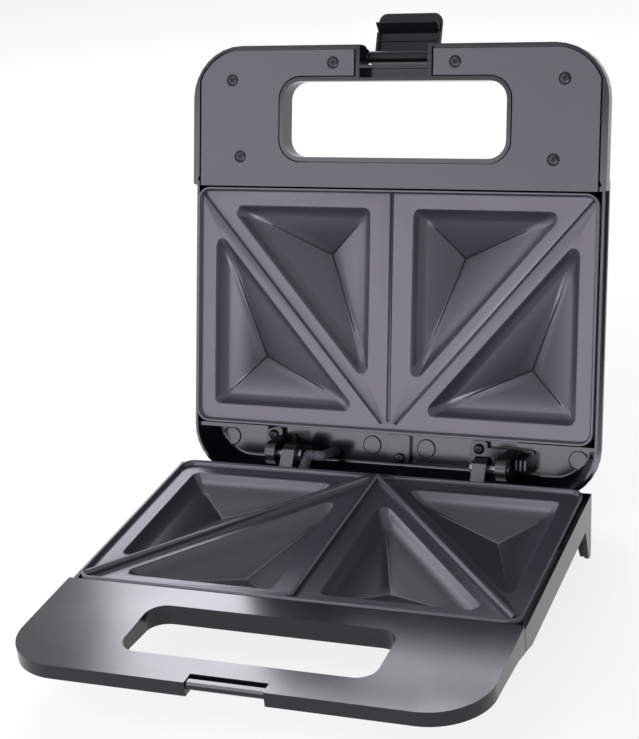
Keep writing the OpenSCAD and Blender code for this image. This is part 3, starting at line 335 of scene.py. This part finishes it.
# darker where the strands sink under each other: painted shade between the strands, over the braid's own pattern
tint = add(tree, "ShaderNodeValToRGB", {"Fac": top.outputs["Value"]}, feeds={"Color": shader["Base Color"]})
tint.color_ramp.elements[0].color = linear("151417")
tint.color_ramp.elements[1].color = linear("3D3C41")
add(tree, "ShaderNodeBump", {"Height": top.outputs["Value"], "Strength": 0.5, "Distance": 0.3 * MM},
    feeds={"Normal": shader["Normal"]})

# %% [markdown]
# ## Lenses
# The two lamps shine through clear coloured lenses. Their inner face is cast in small
# dimples that spread the light, and these show through the gloss as a fine cell pattern.

# %% Lamp lenses
def lens_finish(name, colour):
    made, tree, shader, place = start_finish(name, colour, 0.12, ior=1.58)
    shader["Transmission Weight"].default_value = 0.35
    facet = add(tree, "ShaderNodeTexVoronoi", {"Vector": place, "Scale": per_mm(1.4)})
    add(tree, "ShaderNodeBump", {"Height": facet.outputs["Distance"], "Strength": 0.25, "Distance": 0.3 * MM},
        feeds={"Normal": shader["Normal"]})
    return made


red_lens = lens_finish("clear_red_lens", "8C1616")
green_lens = lens_finish("clear_green_lens", "157A35")

# %% [markdown]
# ## Who wears what
# Every node of the frame gets one of these finishes. The table is kept in one place so that
# nothing is forgotten and a finish can be changed with one word.

# %% Dress the frame's nodes
wardrobe = {
    "base_housing": abs_gloss, "lid_shell": abs_gloss, "handle_cover": abs_satin,
    "bottom_cover": abs_matt, "bay_strip": abs_gloss, "latch": latch_nylon,
    "hinge_post_left": nylon, "hinge_post_right": nylon, "hinge_arm_left": nylon, "hinge_arm_right": nylon,
    "lower_plate": coat, "upper_plate": coat,
    "bottom_cover_screws": dark_zinc, "lower_plate_screws": dark_zinc, "upper_plate_screws": dark_zinc,
    "handle_cover_screws": dark_zinc, "hinge_arm_screws": dark_zinc, "bay_strip_screw": dark_zinc,
    "hinge_pin_left": pin_steel, "hinge_pin_right": pin_steel, "latch_pin": pin_steel,
    "thermal_fuse": bare_sheet, "lower_heat_shield": bare_sheet, "upper_heat_shield": bare_sheet,
    "lower_heating_element": heat_tube, "upper_heating_element": heat_tube,
    "front_feet": rubber, "cord_inlet": rubber,
    "thermostat": cream, "terminal_block": cream, "lamp_board": cream,
    "wire_sleeve_base": braid, "wire_sleeve_lid": braid,
    "power_lens": red_lens, "ready_lens": green_lens,
}


def wear(piece, material):
    piece.data.materials.clear()
    piece.data.materials.append(material)


for name, material in wardrobe.items():
    wear(nodes[name], material)
print("bare nodes:", sorted(set(nodes) - set(wardrobe)))

# %% [markdown]
# ## Standing in for a node
# The frame's nodes have true shapes but razor edges and loose triangles, and they may not be
# changed. So each visible one is copied, its triangles are merged into clean faces, and the
# copy is worked on and then stands in for the node, on the same body and with the same finish.

# %% Copy a node and let the copy stand in
MERGE_MM = 0.004
body_of_node = {n: body for body, names in frame["record"]["behaviour"]["bodies"].items() for n in names}


def pick(piece):
    bpy.ops.object.select_all(action="DESELECT")
    piece.select_set(True)
    bpy.context.view_layer.objects.active = piece


def merged_copy(node):
    """A copy of a node that may be changed, with its loose triangles joined."""
    piece = nodes[node].copy()
    piece.data = nodes[node].data.copy()
    for key in list(piece.keys()):
        del piece[key]
    piece.parent = None
    bpy.context.scene.collection.objects.link(piece)
    pick(piece)
    bpy.ops.object.mode_set(mode="EDIT")
    bpy.ops.mesh.select_all(action="SELECT")
    bpy.ops.mesh.remove_doubles(threshold=MERGE_MM * MM)
    bpy.ops.object.mode_set(mode="OBJECT")
    return piece


def settle(piece, name, body):
    """Names a piece and lets it ride on its body."""
    piece.name = piece.data.name = name
    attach(piece, body)


def stand_in(piece, node):
    wear(piece, wardrobe[node])
    settle(piece, node + "_finished", body_of_node[node])
    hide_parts(node)
    print(node, "->", len(piece.data.polygons), "faces")


# %% [markdown]
# ## Rounding the edges of a moulding
# No moulded edge is sharp: the tool's corner leaves a radius of a few tenths of a millimetre,
# and that thin line of light is how the eye knows the thing is plastic. The bevel modifier
# rounds every edge that turns by more than a set angle. The normals are then weighted by the
# size of the faces, so that the flat faces stay flat right up to the rounded edge.

# %% Round the housings and the moving plastic
EDGE_STEPS = 2
SHARP_DEG, SAME_PLANE_DEG = 32, 0.15
SMOOTH_DEG, FACE_WEIGHT = 40, 60
edge_radii_mm = {
    "base_housing": 0.4, "lid_shell": 0.4, "handle_cover": 0.25, "bottom_cover": 0.3, "latch": 0.25,
    "hinge_post_left": 0.3, "hinge_post_right": 0.3, "hinge_arm_left": 0.25, "hinge_arm_right": 0.25,
    "front_feet": 0.3, "cord_inlet": 0.2, "bay_strip": 0.2,
}


def calm(piece):
    """Smooth corners and flat faces: the normals follow the largest faces."""
    pick(piece)
    bpy.ops.object.shade_smooth_by_angle(angle=math.radians(SMOOTH_DEG))
    flat = piece.modifiers.new("calm_faces", "WEIGHTED_NORMAL")
    flat.keep_sharp, flat.weight = True, FACE_WEIGHT
    bpy.ops.object.modifier_apply(modifier="calm_faces")


def round_edges(node, radius_mm):
    piece = merged_copy(node)
    bpy.ops.object.mode_set(mode="EDIT")
    bpy.ops.mesh.select_all(action="SELECT")
    bpy.ops.mesh.dissolve_limited(angle_limit=math.radians(SAME_PLANE_DEG))
    bpy.ops.object.mode_set(mode="OBJECT")
    bevel = piece.modifiers.new("edge_radius", "BEVEL")
    bevel.width, bevel.segments = radius_mm * MM, EDGE_STEPS
    bevel.limit_method, bevel.angle_limit = "ANGLE", math.radians(SHARP_DEG)
    bevel.miter_outer, bevel.use_clamp_overlap = "MITER_ARC", True
    bpy.ops.object.modifier_apply(modifier="edge_radius")
    calm(piece)
    stand_in(piece, node)


for node, radius_mm in edge_radii_mm.items():
    round_edges(node, radius_mm)

# %% [markdown]
# ## The land of a plate
# A plate's land is its flat face round the pockets. A cast plate has rounder edges than a
# moulding, and the coat makes them rounder still, but only where the land turns down into a
# pocket or over the rim. To find those edges by place, the land's own level comes first: it
# is the level, along the direction that the plate faces, with the largest flat area.

# %% Find and clean the land
NEARLY_LEVEL, LEVEL = 0.9995, 0.9999
LAND_PLANE_DEG, LAND_STEP_MM, LAND_SPREAD_MM = 0.02, 0.01, 0.1


def choose(piece, test):
    """Selects, in edit mode, the faces that pass the test."""
    bpy.ops.mesh.select_all(action="DESELECT")
    bpy.ops.object.mode_set(mode="OBJECT")
    for face in piece.data.polygons:
        face.select = test(face)
    bpy.ops.object.mode_set(mode="EDIT")


def land_level(piece, outward):
    areas = {}
    for face in piece.data.polygons:
        if face.normal.dot(outward) > NEARLY_LEVEL:
            level_mm = round(face.center.dot(outward) / MM, 1)
            areas[level_mm] = areas.get(level_mm, 0) + face.area
    rough_level = max(areas, key=areas.get) * MM
    heights = [face.center.dot(outward) for face in piece.data.polygons if face.normal.dot(outward) > LEVEL]
    near = [height for height in heights if abs(height - rough_level) < LAND_SPREAD_MM * MM]
    return min(near, key=lambda height: abs(height - rough_level))


def clean_land(piece, outward, land):
    """Lays the land's faces out anew, without the slivers that its outlines left."""
    bpy.ops.object.mode_set(mode="EDIT")
    bpy.ops.mesh.select_mode(type="FACE")
    choose(piece, lambda f: f.normal.dot(outward) > LEVEL
           and abs(f.center.dot(outward) - land) < LAND_STEP_MM * MM)
    bpy.ops.mesh.dissolve_limited(angle_limit=math.radians(LAND_PLANE_DEG))
    bpy.ops.mesh.quads_convert_to_tris(quad_method="BEAUTY", ngon_method="BEAUTY")


print("a face is level when its normal is within", round(math.degrees(math.acos(LEVEL)), 1), "degrees")

# %% [markdown]
# ## The plates' soft edges
# The edges to soften have both ends on the land, and the face beside them drops away deep:
# that tells a pocket's edge from a seam's. They get a radius of about 0.6 mm, while the fine
# crease lines and seams keep their crisp edges. A bevel can fold a sliver of land over where
# two edges meet, so faces that then look the wrong way are turned back.

# %% Soften the edges of the land
ON_LAND_MM, FOLDED_MM = 0.06, 0.5
PLATE_RADIUS_MM, PLATE_STEPS = 0.6, 3
LAND_LEVEL, WALL_STEEP, POCKET_EDGE_DEEP_MM = 0.999, 0.93, 2.5


def soften_land_edges(piece, outward, land):
    bpy.ops.mesh.select_mode(type="EDGE")
    bpy.ops.mesh.select_all(action="DESELECT")
    shape = bmesh.from_edit_mesh(piece.data)
    picked = 0
    for edge in shape.edges:
        off_land = max(abs(v.co.dot(outward) - land) for v in edge.verts)
        if len(edge.link_faces) != 2 or off_land > ON_LAND_MM * MM:
            continue
        level, steep = sorted(edge.link_faces, key=lambda f: -f.normal.dot(outward))
        depth = land - min(v.co.dot(outward) for v in steep.verts)
        turns_down = level.normal.dot(outward) > LAND_LEVEL and steep.normal.dot(outward) < WALL_STEEP
        if turns_down and depth > POCKET_EDGE_DEEP_MM * MM:
            edge.select_set(True)
            picked += 1
    bmesh.update_edit_mesh(piece.data)
    bpy.ops.mesh.bevel(offset=PLATE_RADIUS_MM * MM, segments=PLATE_STEPS, profile=0.5,
                       clamp_overlap=True, loop_slide=False)
    bpy.ops.mesh.select_mode(type="FACE")
    choose(piece, lambda f: f.normal.dot(outward) < -0.5
           and abs(f.center.dot(outward) - land) < FOLDED_MM * MM)
    bpy.ops.mesh.flip_normals()
    bpy.ops.object.mode_set(mode="OBJECT")
    print("edges softened", picked)


print("plate edges get", PLATE_RADIUS_MM, "mm")

# %% [markdown]
# ## Painted light in the crease grooves
# Below the foot of the pocket's wall only the walls of the crease grooves are steep, so depth
# and slope pick them out, and they get the crease paint as a second material: painted shade
# in the lid and a painted highlight in the base. The land's normals are weighted to keep it
# flat, while the walls run softly into the pockets' floors.

# %% Finish both plates
CREASE_STEEP, CREASE_TOP_MM, CREASE_FLOOR_MM = 0.85, 7.75, 12.6
PLATE_SMOOTH_DEG, LAND_WEIGHT = 25, 80


def paint_creases(piece, outward, land, crease_paint):
    piece.data.materials.append(crease_paint)
    creases = [f for f in piece.data.polygons if f.normal.dot(outward) < CREASE_STEEP
               and CREASE_TOP_MM < (land - f.center.dot(outward)) / MM < CREASE_FLOOR_MM]
    for face in creases:
        face.material_index = 1
    print("crease faces", len(creases))


def flatten_land(piece, outward, land):
    bpy.ops.object.shade_smooth_by_angle(angle=math.radians(PLATE_SMOOTH_DEG))
    on_land = piece.vertex_groups.new(name="land")
    level = [v.index for v in piece.data.vertices if abs(v.co.dot(outward) - land) < ON_LAND_MM * MM]
    on_land.add(level, 1.0, "REPLACE")
    flat = piece.modifiers.new("flat_land", "WEIGHTED_NORMAL")
    flat.keep_sharp, flat.weight, flat.vertex_group = True, LAND_WEIGHT, "land"
    bpy.ops.object.modifier_apply(modifier="flat_land")


plate_up = Vector((0, 0, 1))
lid_down = lid_place.to_3x3() @ Vector((0, 0, -1))
plates = {"lower_plate": (plate_up, crease_highlight_paint), "upper_plate": (lid_down, crease_shade_paint)}
for node, (outward, crease_paint) in plates.items():
    plate = merged_copy(node)
    land = land_level(plate, outward)
    print(node, "land level", round(land / MM, 2))
    clean_land(plate, outward, land)
    soften_land_edges(plate, outward, land)
    flatten_land(plate, outward, land)
    stand_in(plate, node)
    paint_creases(plate, outward, land, crease_paint)

# %% [markdown]
# ## Cross-head screws
# Six screws hold the handle cover, one holds each hinge arm and one the strip in the bay.
# Each has a low domed head with a cross recess. The head starts as a disc whose top is
# inset and lifted into a dome; the cross is cut with two thin wedges, as a punch would.

# %% Model one screw
# each step of the dome: how far it is inset, as a share of the radius, and how far it rises, of the height
DOME_STEPS = ((0.14, 0.28), (0.24, 0.16), (0.28, 0.06))
# the cross: its length and width as shares of the radius, its depth, and how much it narrows to the foot
CROSS_LONG, CROSS_WIDE, CROSS_DEEP, CROSS_DEEP_MIN_MM, CROSS_FOOT = 1.2, 0.34, 1.3, 1.2, 0.55


def cross_wedge(head_r, head_h, turn_deg):
    bpy.ops.object.select_all(action="DESELECT")
    bpy.ops.mesh.primitive_cube_add(size=1, location=(0, 0, head_h * MM))
    wedge = bpy.context.object
    # the wedge's near-black finish passes to the cut faces: painted shade in the cross
    wear(wedge, recess_painted_shade)
    deep = max(head_h * CROSS_DEEP, CROSS_DEEP_MIN_MM)
    wedge.scale = (head_r * CROSS_LONG * MM, head_r * CROSS_WIDE * MM, deep * MM)
    wedge.rotation_euler = (0, 0, math.radians(turn_deg + 45))
    bpy.ops.object.transform_apply(location=True, rotation=True, scale=True)
    bpy.ops.object.mode_set(mode="EDIT")
    bpy.ops.mesh.select_mode(type="FACE")
    choose(wedge, lambda f: f.normal.z < -0.9)
    bpy.ops.transform.resize(value=(CROSS_FOOT, CROSS_FOOT, 1), center_override=(0, 0, 0))
    bpy.ops.object.mode_set(mode="OBJECT")
    return wedge


def cut_away(piece, cutter, name):
    """Cuts one piece out of another; the cut faces keep the cutter's finish."""
    cut = piece.modifiers.new(name, "BOOLEAN")
    cut.operation, cut.solver, cut.object = "DIFFERENCE", "EXACT", cutter
    cut.material_mode = "TRANSFER"
    pick(piece)
    bpy.ops.object.modifier_apply(modifier=name)
    bpy.data.objects.remove(cutter)


def cross_head_screw(name, head_r, head_h, shank_r, shank_l):
    bpy.ops.object.select_all(action="DESELECT")
    bpy.ops.mesh.primitive_cylinder_add(vertices=40, radius=head_r * MM, depth=head_h * 0.5 * MM,
                                        location=(0, 0, head_h * 0.25 * MM))
    screw = bpy.context.object
    screw.name = name
    wear(screw, dark_zinc)
    bpy.ops.object.transform_apply(location=True)
    bpy.ops.object.mode_set(mode="EDIT")
    bpy.ops.mesh.select_mode(type="FACE")
    for share, rise in DOME_STEPS:
        choose(screw, lambda f: f.normal.z > 0.9 and f.center.xy.length < 0.01 * MM)
        bpy.ops.mesh.inset(thickness=head_r * share * MM)
        bpy.ops.transform.translate(value=(0, 0, head_h * rise * MM))
    choose(screw, lambda f: f.normal.z < -0.9 and f.center.xy.length < 0.01 * MM)
    bpy.ops.mesh.inset(thickness=(head_r - shank_r) * MM)
    bpy.ops.mesh.extrude_region_move(TRANSFORM_OT_translate={"value": (0, 0, -shank_l * MM)})
    bpy.ops.object.mode_set(mode="OBJECT")
    for turn_deg in (0, 90):
        cut_away(screw, cross_wedge(head_r, head_h, turn_deg), "recess")
    bpy.ops.object.shade_smooth_by_angle(angle=math.radians(35))
    print(name, "has", len(screw.data.polygons), "faces")
    return screw


# %% [markdown]
# ## Seats for the cover's screws
# The cover's heads lie in round seats, a little wider than the head, so a thin ring shows
# round each screw; the seat's cut faces are painted near-black, as painted shade. The cover's
# finished copy gets them by boolean. Their places are in the lid's own axes, on both sides of
# the middle.

# %% Sink the seats
SEAT_RADIUS_MM, SEAT_DEPTH_MM = 3.3, 0.75
COVER_SCREWS_MM = ((90.9, -199.7), (33.4, -208.6), (86.0, -159.2))
to_flat = lid_place.inverted()
cover_face = min((to_flat @ v.co).z for v in nodes["handle_cover"].data.vertices)
cover_spots = [(side * x, y) for x, y in COVER_SCREWS_MM for side in (-1, 1)]
cover_finished = bpy.data.objects["handle_cover_finished"]
for x, y in cover_spots:
    bpy.ops.object.select_all(action="DESELECT")
    bpy.ops.mesh.primitive_cylinder_add(vertices=40, radius=SEAT_RADIUS_MM * MM, depth=2 * SEAT_DEPTH_MM * MM)
    seat = bpy.context.object
    # the seat's near-black finish passes to the cut faces: painted shade round the head
    wear(seat, recess_painted_shade)
    seat.data.transform(lid_place @ Matrix.Translation(Vector((x * MM, y * MM, cover_face))))
    cut_away(cover_finished, seat, "seat")
calm(cover_finished)
print("cover face at", round(cover_face / MM, 2), "mm, seats cut:", len(cover_spots))

# %% [markdown]
# ## The screws in their places
# Each kind of screw is modelled once and copied. A head's underside lies just above the floor
# of its seat, on the foot of the hinge arm or on the strip. The crosses are turned this way
# and that, because nobody lines them up. The heads face down when the lid is shut.

# %% Put the screws in
HEAD_UNDERSIDE_MM = 0.72
LID_TOP_MM, LID_WALL_MM, BAY_REAR_MM = 24.5, 2.4, 4.96
ARM_FOOT_MM, STRIP_MM = 2.4, 1.6
ARM_SCREWS_MM = ((-72.4, -6.7), (45.4, -6.7))
STRIP_SCREW_MM = (0.9, BAY_REAR_MM - 3.5)
COVER_TURN_DEG, ARM_TURN_DEG, ARM_FIRST_DEG = 31, 25, 20
STRIP_TURN = 0.6  # in radians
bay_ceiling_mm = LID_TOP_MM - LID_WALL_MM
face_down = Matrix.Rotation(math.pi, 4, "X")


def screw_at(pattern, name, place, spin, node):
    """A copy of a screw with its head's underside at a place in the lid's own axes."""
    piece = pattern.copy()
    piece.data = pattern.data.copy()
    bpy.context.scene.collection.objects.link(piece)
    piece.data.transform(lid_place @ Matrix.Translation(place) @ face_down @ Matrix.Rotation(spin, 4, "Z"))
    settle(piece, name, "lid")
    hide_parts(node)


cover_screw = cross_head_screw("cover_screw_pattern", head_r=2.75, head_h=0.7, shank_r=1.45, shank_l=6.5)
for number, (x, y) in enumerate(cover_spots):
    place = Vector((x * MM, y * MM, cover_face + HEAD_UNDERSIDE_MM * MM))
    spin = math.radians(COVER_TURN_DEG * number)
    screw_at(cover_screw, f"cover_screw_{number + 1}", place, spin, "handle_cover_screws")
arm_screw = cross_head_screw("arm_screw_pattern", head_r=2.8, head_h=1.5, shank_r=1.45, shank_l=2.9)
for number, (x, y) in enumerate(ARM_SCREWS_MM):
    place = Vector((x, y, bay_ceiling_mm - ARM_FOOT_MM)) * MM
    spin = math.radians(ARM_FIRST_DEG + ARM_TURN_DEG * number)
    screw_at(arm_screw, f"arm_screw_{number + 1}", place, spin, "hinge_arm_screws")
strip_screw = cross_head_screw("strip_screw_pattern", head_r=2.8, head_h=1.7, shank_r=1.45, shank_l=1.5)
place = Vector((*STRIP_SCREW_MM, bay_ceiling_mm - STRIP_MM)) * MM
screw_at(strip_screw, "strip_screw_1", place, STRIP_TURN, "bay_strip_screw")
for pattern in (cover_screw, arm_screw, strip_screw):
    bpy.data.objects.remove(pattern)
print("screws in the cover:", len(cover_spots), "in the arms:", len(ARM_SCREWS_MM), "in the strip: 1")

# %% [markdown]
# ## Marks in the bay's floor
# An ejector pin leaves a round mark on the inside of a moulding: a flat disc with a dark
# circle round it, the shade of a shallow groove. The discs are in the housing already and
# stand half a millimetre proud. The circle is drawn as a very thin torus, pressed flat, that
# lies round the rim of a disc's face, in the dull near-black nylon: painted shade.

# %% Ring one mark and copy it
RING_RADIUS_MM, RING_THICK_MM, RING_FLATNESS = 4.85, 0.26, 0.7
RINGS_MM = ((-98.5, -4), (98.5, -4), (-15.4, -4.5), (15.4, -4.5))
DISC_PROUD_MM = 0.5
bpy.ops.object.select_all(action="DESELECT")
bpy.ops.mesh.primitive_torus_add(major_radius=RING_RADIUS_MM * MM, minor_radius=RING_THICK_MM * MM,
                                 major_segments=48, minor_segments=8)
shade_ring_pattern = bpy.context.object
# the dull near-black finish paints the groove's shade round the disc
wear(shade_ring_pattern, latch_nylon)
bpy.ops.object.mode_set(mode="EDIT")
bpy.ops.mesh.select_all(action="SELECT")
bpy.ops.transform.resize(value=(1, 1, RING_FLATNESS), center_override=(0, 0, 0))
bpy.ops.object.mode_set(mode="OBJECT")
bpy.ops.object.shade_smooth()
for number, (x, y) in enumerate(RINGS_MM):
    ring = shade_ring_pattern.copy()
    ring.data = shade_ring_pattern.data.copy()
    bpy.context.scene.collection.objects.link(ring)
    ring.data.transform(lid_place @ Matrix.Translation(Vector((x, y, bay_ceiling_mm - DISC_PROUD_MM)) * MM))
    settle(ring, f"painted_shade_ring_{number + 1}", "lid")
bpy.data.objects.remove(shade_ring_pattern)
print("rings placed:", len(RINGS_MM))

# %% [markdown]
# ## A pale floor
# The photograph was cut out on white. The floor is a pale sheet that keeps the object's
# shadow, and glows towards the camera and in reflections, so that it shows nearly white
# without throwing more light on the object. Light Path tells which rays come straight from
# the camera, off a gloss or through a clear thing.

# %% Floor
FLOOR_M, FLOOR_GLOW_SHARE = 6, 0.82


def shown_rays(tree):
    """1 for a ray from the camera, off a gloss or through glass, and 0 for the rest."""
    rays = add(tree, "ShaderNodeLightPath").outputs
    shown = add(tree, "ShaderNodeMath", {0: rays["Is Camera Ray"], 1: rays["Is Glossy Ray"]}, operation="ADD")
    shown = add(tree, "ShaderNodeMath", {0: shown.outputs[0], 1: rays["Is Transmission Ray"]},
                operation="ADD", use_clamp=True)
    return shown.outputs[0]


bpy.ops.object.select_all(action="DESELECT")
bpy.ops.mesh.primitive_plane_add(size=FLOOR_M, location=(0, 0, 0))
floor = bpy.context.object
floor.name = "pale_floor"
floor_white = bpy.data.materials.new("pale_floor")
floor_white.use_nodes = True
tree = floor_white.node_tree
paint = tree.nodes["Principled BSDF"]
paint.inputs["Base Color"].default_value = linear("F4F4F4")
paint.inputs["Roughness"].default_value = 0.9
share = add(tree, "ShaderNodeMath", {0: shown_rays(tree), 1: FLOOR_GLOW_SHARE}, operation="MULTIPLY")
glow = add(tree, "ShaderNodeEmission", {"Color": (1, 1, 1, 1), "Strength": 1.0})
add(tree, "ShaderNodeMixShader", {"Fac": share.outputs[0], 1: paint.outputs["BSDF"], 2: glow.outputs[0]},
    feeds={"Shader": tree.nodes["Material Output"].inputs["Surface"]})
wear(floor, floor_white)
print("floor glow:", FLOOR_GLOW_SHARE)

# %% [markdown]
# ## A white world
# A world shader surrounds the scene and lights it from all sides. Shown plain white to the
# camera and in reflections, as the floor is, it gives the object only a low, even fill, so
# that the lamps still shape it.

# %% World
WORLD_FILL = 0.30
world = bpy.data.worlds.new("studio")
bpy.context.scene.world = world
world.use_nodes = True
tree = world.node_tree
tree.nodes.clear()
fill = add(tree, "ShaderNodeBackground", {"Color": (0.96, 0.96, 1.0, 1), "Strength": WORLD_FILL})
white = add(tree, "ShaderNodeBackground", {"Color": (1, 1, 1, 1), "Strength": 1.0})
mixed = add(tree, "ShaderNodeMixShader", {"Fac": shown_rays(tree), 1: fill.outputs[0], 2: white.outputs[0]})
add(tree, "ShaderNodeOutputWorld", {"Surface": mixed.outputs[0]})
print("world fill:", WORLD_FILL)

# %% [markdown]
# ## Soft lamps
# Large soft lamps stand where the real ones stood, as the mirror images on the glossy handle
# and the plates tell: a wide one in front on the left with a second high above it, a small
# one low in front, a wide one along the left side, one behind on the left whose image runs
# over the handle, and a weak one on the right. All have the slightly cool tint of daylight
# lamps. Each line gives a lamp's place, the point it looks at, its size and its power.

# %% Lamps
COOL_DAYLIGHT = (0.93, 0.91, 1.0)


def soft_lamp(name, place, aim, size, watts):
    data = bpy.data.lights.new(name, "AREA")
    data.shape, data.size, data.size_y, data.energy = "RECTANGLE", size[0], size[1], watts
    data.color = COOL_DAYLIGHT
    lamp = bpy.data.objects.new(name, data)
    bpy.context.scene.collection.objects.link(lamp)
    lamp.location = place
    lamp.rotation_euler = (Vector(aim) - Vector(place)).to_track_quat("-Z", "Y").to_euler()


soft_lamp("front_box", (-0.56, -1.40, 0.42), (0, 0.05, 0.12), (1.1, 0.66), 10.5)
soft_lamp("low_front_box", (0.22, -1.38, 0.18), (0, 0.05, 0.10), (0.36, 0.32), 9)
soft_lamp("top_box", (-0.60, -0.95, 1.30), (0, 0, 0.08), (0.7, 0.7), 8)
soft_lamp("left_box", (-1.35, -0.25, 0.55), (0, 0, 0.12), (2.0, 0.8), 16)
soft_lamp("back_left_box", (-0.39, 1.0, 0.86), (0, -0.15, 0.02), (0.68, 0.5), 10)
soft_lamp("right_box", (1.4, -0.1, 0.7), (0, 0, 0.1), (0.6, 0.9), 2)
